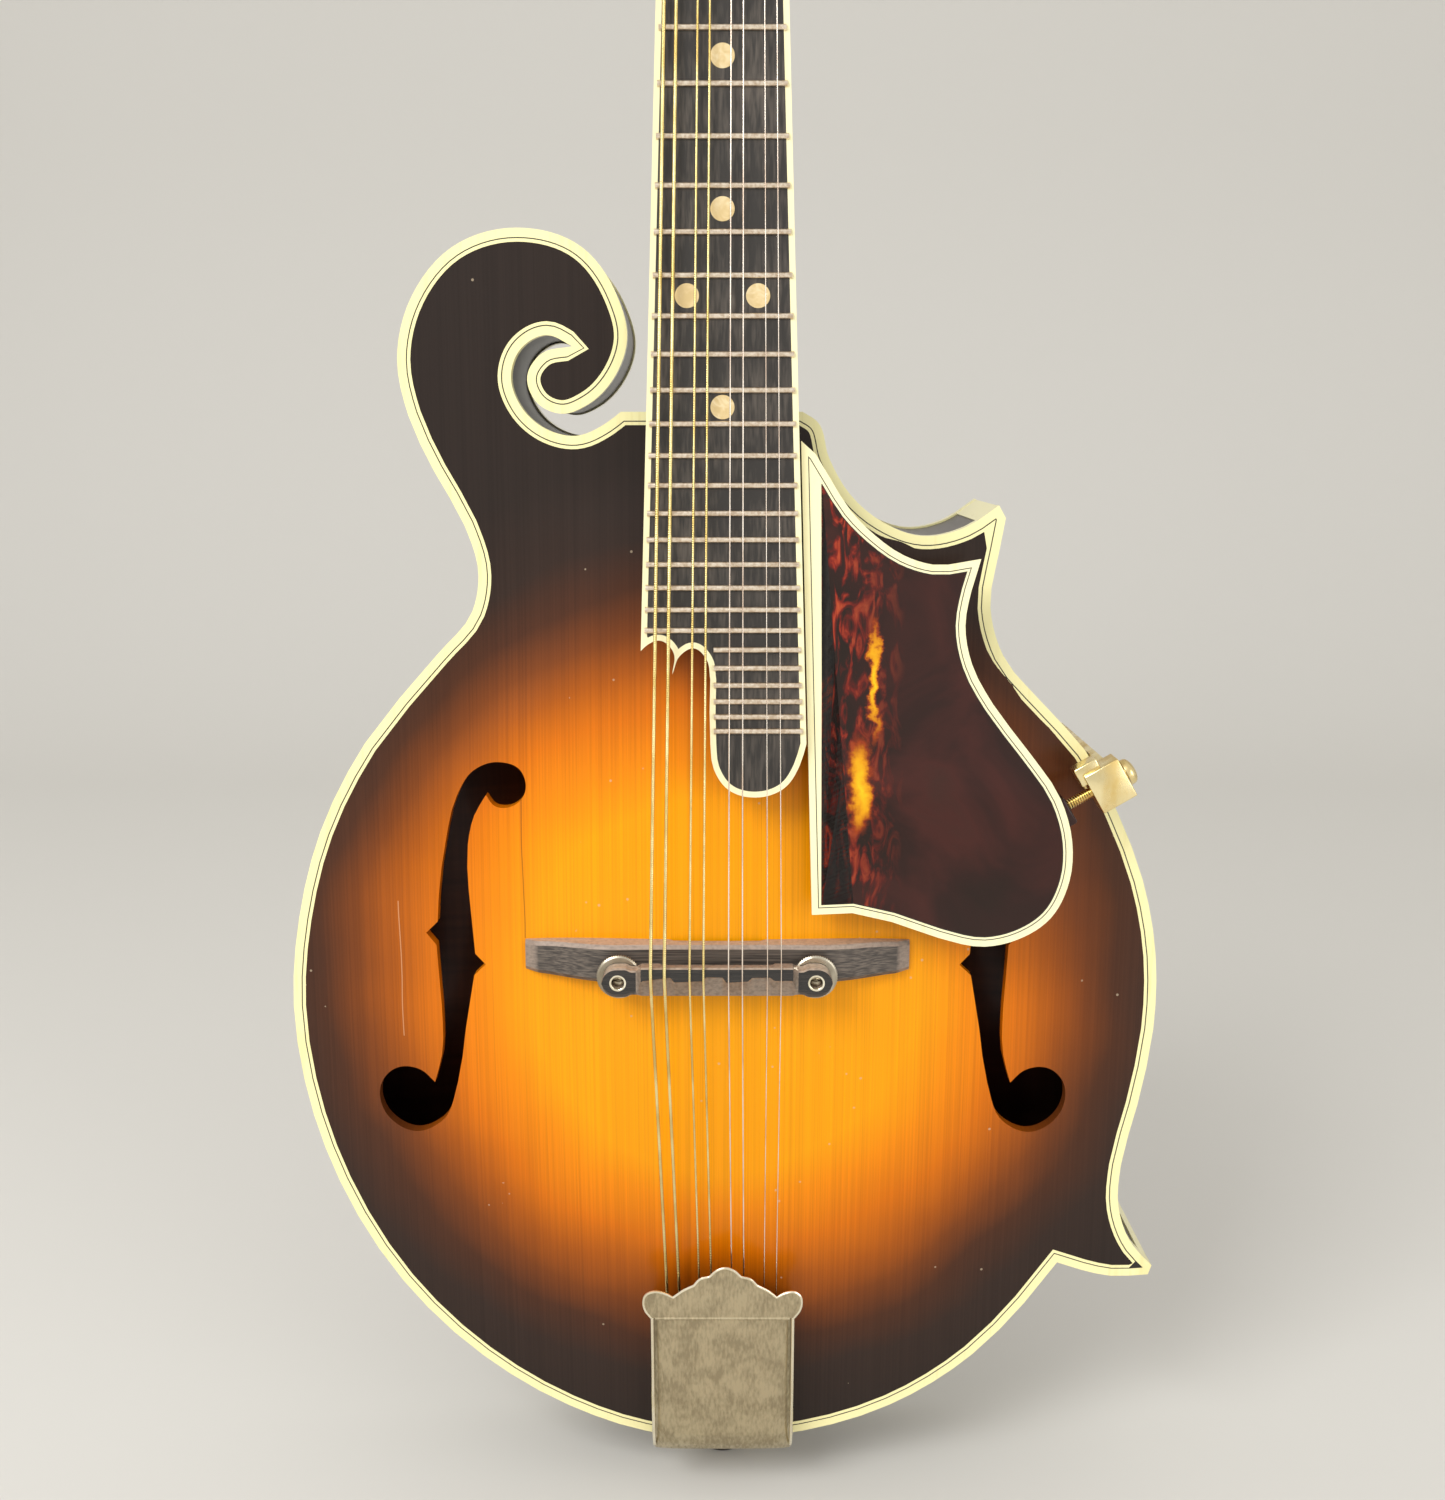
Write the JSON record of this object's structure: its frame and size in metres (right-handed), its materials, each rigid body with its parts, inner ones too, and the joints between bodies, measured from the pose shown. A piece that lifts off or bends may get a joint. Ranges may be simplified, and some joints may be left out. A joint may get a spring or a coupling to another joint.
{
  "type": "mandolin",
  "caption": "Scroll-bodied carved-top mandolin with paired strings on geared tuners, a bridge on thumbwheels, f-holes, a clamped pickguard and a covered tailpiece.",
  "frame": {"origin": "centre of the end pin's flat outer face", "axes": "+Z from the end pin along the body towards the headstock, -Y out of the soundboard, +X towards the treble side"},
  "size_m": [0.2585, 0.1044, 0.6897],
  "materials": {
    "spruce_sunburst": "gloss lacquer over a shaded amber-to-brown sunburst spruce",
    "maple_lacquer": "gloss dark brown lacquer over maple",
    "bare_spruce": "unfinished spruce",
    "bare_mahogany": "unfinished mahogany",
    "ivoroid": "grained cream celluloid, polished",
    "ebony": "oiled ebony, lightly worn",
    "black_lacquer": "black gloss lacquer on a veneer",
    "bone": "polished bone",
    "aged_nickel": "aged satin nickel plate",
    "steel": "plain steel",
    "brass": "machined brass",
    "gold_plate": "polished gold plate",
    "tortoise": "polished tortoise celluloid with amber figure",
    "pearl_plastic": "pearloid plastic on a plated worm shaft",
    "bronze_string": "bronze-wound steel string",
    "steel_string": "plain bright steel string"
  },
  "bodies": {
    "instrument": {"back_binding": "ivoroid", "back_plate": "maple_lacquer", "bridge_base": "ebony", "bridge_post_bass": "aged_nickel", "bridge_post_treble": "aged_nickel", "end_pin": "ebony", "fingerboard": "ebony", "fingerboard_binding": "ivoroid", "head_block": "bare_mahogany", "headplate": "black_lacquer", "lower_point_block": "bare_mahogany", "neck": "maple_lacquer", "nut": "bone", "pickguard": "tortoise", "pickguard_clamp": "gold_plate", "rib_bass": "maple_lacquer", "rib_lower_treble": "maple_lacquer", "rib_upper_treble": "maple_lacquer", "rib_waist_treble": "maple_lacquer", "string_a_1": "steel_string", "string_a_2": "steel_string", "string_d_1": "bronze_string", "string_d_2": "bronze_string", "string_e_1": "steel_string", "string_e_2": "steel_string", "string_g_1": "bronze_string", "string_g_2": "bronze_string", "tail_block": "bare_mahogany", "tailpiece_base": "aged_nickel", "tone_bar_bass": "bare_spruce", "tone_bar_treble": "bare_spruce", "top_binding": "ivoroid", "top_plate": "spruce_sunburst", "truss_rod": "steel", "truss_rod_cover": "black_lacquer", "tuner_plate_bass": "aged_nickel", "tuner_plate_treble": "aged_nickel", "upper_point_block": "bare_mahogany"},
    "bridge_saddle": {"bridge_saddle": "ebony"},
    "thumbwheel_bass": {"thumbwheel_bass": "aged_nickel"},
    "thumbwheel_treble": {"thumbwheel_treble": "aged_nickel"},
    "tailpiece_cover": {"tailpiece_cover": "aged_nickel"},
    "truss_rod_nut": {"truss_rod_nut": "brass"},
    "pickguard_screw": {"pickguard_screw": "gold_plate"},
    "tuner_button_bass_1": {"tuner_button_bass_1": "pearl_plastic"},
    "tuner_button_bass_2": {"tuner_button_bass_2": "pearl_plastic"},
    "tuner_button_bass_3": {"tuner_button_bass_3": "pearl_plastic"},
    "tuner_button_bass_4": {"tuner_button_bass_4": "pearl_plastic"},
    "tuner_button_treble_1": {"tuner_button_treble_1": "pearl_plastic"},
    "tuner_button_treble_2": {"tuner_button_treble_2": "pearl_plastic"},
    "tuner_button_treble_3": {"tuner_button_treble_3": "pearl_plastic"},
    "tuner_button_treble_4": {"tuner_button_treble_4": "pearl_plastic"},
    "tuner_post_bass_1": {"tuner_post_bass_1": "aged_nickel"},
    "tuner_post_bass_2": {"tuner_post_bass_2": "aged_nickel"},
    "tuner_post_bass_3": {"tuner_post_bass_3": "aged_nickel"},
    "tuner_post_bass_4": {"tuner_post_bass_4": "aged_nickel"},
    "tuner_post_treble_1": {"tuner_post_treble_1": "aged_nickel"},
    "tuner_post_treble_2": {"tuner_post_treble_2": "aged_nickel"},
    "tuner_post_treble_3": {"tuner_post_treble_3": "aged_nickel"},
    "tuner_post_treble_4": {"tuner_post_treble_4": "aged_nickel"}
  },
  "joints": [
    {"name": "turn_button_bass_1", "type": "hinge", "parent": "instrument", "child": "tuner_button_bass_1", "pos_m": [-0.016, 0.01405, 0.56921], "axis": [1, 0, 0], "continuous": true},
    {"name": "turn_post_bass_1", "type": "hinge", "parent": "instrument", "child": "tuner_post_bass_1", "pos_m": [-0.016, -0.00715, 0.56808], "axis": [0, -0.9466, 0.3223], "continuous": true},
    {"name": "turn_button_bass_2", "type": "hinge", "parent": "instrument", "child": "tuner_button_bass_2", "pos_m": [-0.016, 0.02146, 0.59098], "axis": [1, 0, 0], "continuous": true},
    {"name": "turn_post_bass_2", "type": "hinge", "parent": "instrument", "child": "tuner_post_bass_2", "pos_m": [-0.016, 0.00026, 0.58985], "axis": [0, -0.9466, 0.3223], "continuous": true},
    {"name": "turn_button_bass_3", "type": "hinge", "parent": "instrument", "child": "tuner_button_bass_3", "pos_m": [-0.016, 0.02887, 0.61276], "axis": [1, 0, 0], "continuous": true},
    {"name": "turn_post_bass_3", "type": "hinge", "parent": "instrument", "child": "tuner_post_bass_3", "pos_m": [-0.016, 0.00768, 0.61163], "axis": [0, -0.9466, 0.3223], "continuous": true},
    {"name": "turn_button_bass_4", "type": "hinge", "parent": "instrument", "child": "tuner_button_bass_4", "pos_m": [-0.016, 0.03628, 0.63453], "axis": [1, 0, 0], "continuous": true},
    {"name": "turn_post_bass_4", "type": "hinge", "parent": "instrument", "child": "tuner_post_bass_4", "pos_m": [-0.016, 0.01509, 0.6334], "axis": [0, -0.9466, 0.3223], "continuous": true},
    {"name": "turn_button_treble_1", "type": "hinge", "parent": "instrument", "child": "tuner_button_treble_1", "pos_m": [0.016, 0.01405, 0.56921], "axis": [1, 0, 0], "continuous": true},
    {"name": "turn_post_treble_1", "type": "hinge", "parent": "instrument", "child": "tuner_post_treble_1", "pos_m": [0.016, -0.00715, 0.56808], "axis": [0, -0.9466, 0.3223], "continuous": true},
    {"name": "turn_button_treble_2", "type": "hinge", "parent": "instrument", "child": "tuner_button_treble_2", "pos_m": [0.016, 0.02146, 0.59098], "axis": [1, 0, 0], "continuous": true},
    {"name": "turn_post_treble_2", "type": "hinge", "parent": "instrument", "child": "tuner_post_treble_2", "pos_m": [0.016, 0.00026, 0.58985], "axis": [0, -0.9466, 0.3223], "continuous": true},
    {"name": "turn_button_treble_3", "type": "hinge", "parent": "instrument", "child": "tuner_button_treble_3", "pos_m": [0.016, 0.02887, 0.61276], "axis": [1, 0, 0], "continuous": true},
    {"name": "turn_post_treble_3", "type": "hinge", "parent": "instrument", "child": "tuner_post_treble_3", "pos_m": [0.016, 0.00768, 0.61163], "axis": [0, -0.9466, 0.3223], "continuous": true},
    {"name": "turn_button_treble_4", "type": "hinge", "parent": "instrument", "child": "tuner_button_treble_4", "pos_m": [0.016, 0.03628, 0.63453], "axis": [1, 0, 0], "continuous": true},
    {"name": "turn_post_treble_4", "type": "hinge", "parent": "instrument", "child": "tuner_post_treble_4", "pos_m": [0.016, 0.01509, 0.6334], "axis": [0, -0.9466, 0.3223], "continuous": true},
    {"name": "saddle_height", "type": "slide", "parent": "instrument", "child": "bridge_saddle", "axis": [0, -1, 0], "range_m": [-0.0015, 0]},
    {"name": "turn_thumbwheel_bass", "type": "hinge", "parent": "bridge_saddle", "child": "thumbwheel_bass", "pos_m": [-0.029, -0.0452, 0.176], "axis": [0, -1, 0], "range_deg": [-720, 0]},
    {"name": "turn_thumbwheel_treble", "type": "hinge", "parent": "bridge_saddle", "child": "thumbwheel_treble", "pos_m": [0.026, -0.0452, 0.176], "axis": [0, -1, 0], "range_deg": [-720, 0]},
    {"name": "slide_tailpiece_cover", "type": "slide", "parent": "instrument", "child": "tailpiece_cover", "axis": [0, -0.184, 0.9829], "range_m": [0, 0.012]},
    {"name": "turn_truss_rod_nut", "type": "hinge", "parent": "instrument", "child": "truss_rod_nut", "pos_m": [0, -0.0105, 0.53927], "axis": [0, 0.0837, 0.9965], "range_deg": [-180, 180]},
    {"name": "turn_pickguard_screw", "type": "hinge", "parent": "instrument", "child": "pickguard_screw", "pos_m": [0.104, -0.03732, 0.236], "axis": [0.8163, 0, 0.5777], "range_deg": [-360, 0]}
  ],
  "couplings": [
    {"joint": "turn_post_bass_1", "follows": "turn_button_bass_1", "ratio": 0.071429},
    {"joint": "turn_post_bass_2", "follows": "turn_button_bass_2", "ratio": 0.071429},
    {"joint": "turn_post_bass_3", "follows": "turn_button_bass_3", "ratio": 0.071429},
    {"joint": "turn_post_bass_4", "follows": "turn_button_bass_4", "ratio": 0.071429},
    {"joint": "turn_post_treble_1", "follows": "turn_button_treble_1", "ratio": 0.071429},
    {"joint": "turn_post_treble_2", "follows": "turn_button_treble_2", "ratio": 0.071429},
    {"joint": "turn_post_treble_3", "follows": "turn_button_treble_3", "ratio": 0.071429},
    {"joint": "turn_post_treble_4", "follows": "turn_button_treble_4", "ratio": 0.071429},
    {"joint": "turn_thumbwheel_bass", "follows": "saddle_height", "rad_per_m": 7854},
    {"joint": "turn_thumbwheel_treble", "follows": "saddle_height", "rad_per_m": 7854}
  ]
}
